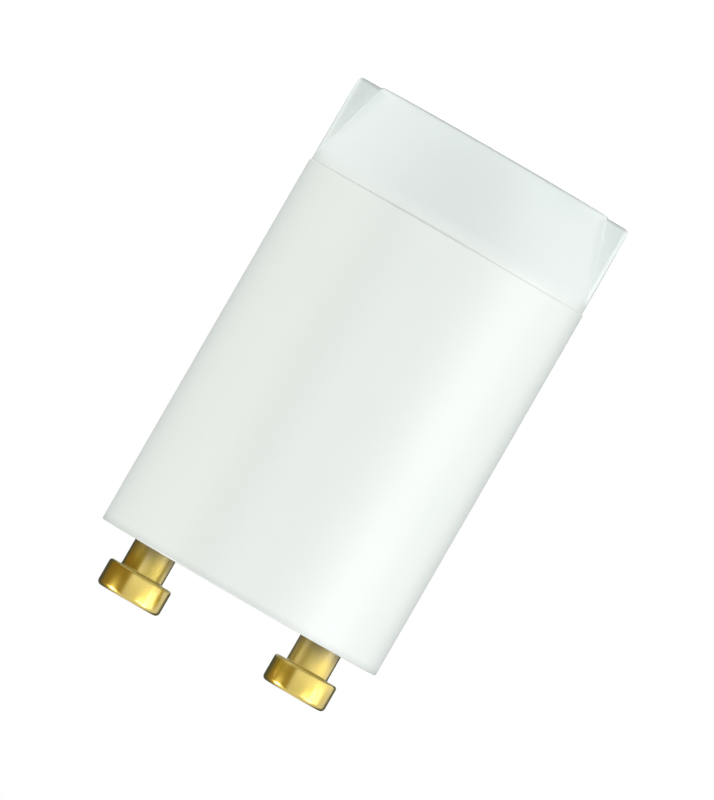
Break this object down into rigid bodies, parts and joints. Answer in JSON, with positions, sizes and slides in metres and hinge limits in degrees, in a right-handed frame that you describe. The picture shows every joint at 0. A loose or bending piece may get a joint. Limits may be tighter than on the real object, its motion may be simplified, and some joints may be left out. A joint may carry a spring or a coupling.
{
  "type": "fluorescent starter",
  "caption": "Fluorescent lamp starter: round plastic canister with a tapered grip head and headed brass contact pins, holding a glow switch bulb and a capacitor.",
  "frame": {"origin": "centre of the head's flat end, on which the starter stands", "axes": "+Z runs along the canister from the head's flat end to the contact pins, and the two pins lie on the X axis"},
  "size_m": [0.021, 0.021, 0.0381],
  "materials": {
    "housing_plastic": "satin",
    "plate_plastic": "satin",
    "pin_brass": "satin",
    "bulb_glass": "gloss",
    "nickel_wire": "satin",
    "bimetal": "satin",
    "capacitor_coating": "gloss",
    "tinned_copper": "satin",
    "solder_tin": "satin"
  },
  "bodies": {
    "housing": {"canister": "housing_plastic", "base_plate": "plate_plastic", "pin_left": "pin_brass", "pin_right": "pin_brass", "glow_bulb_glass": "bulb_glass", "fixed_electrode": "nickel_wire", "bimetal_post": "nickel_wire", "bulb_lead_left": "tinned_copper", "bulb_lead_right": "tinned_copper", "capacitor_body": "capacitor_coating", "capacitor_lead_left": "tinned_copper", "capacitor_lead_right": "tinned_copper", "solder_left": "solder_tin", "solder_right": "solder_tin"},
    "bimetal": {"bimetal_strip": "bimetal"}
  },
  "joints": [
    {"name": "bimetal_flex", "type": "hinge", "parent": "housing", "child": "bimetal", "pos_m": [-0.00122, 0.0022, 0.0198], "axis": [0, -1, 0], "range_deg": [0, 4.3], "stiffness_Nm_per_rad": 0.025}
  ]
}
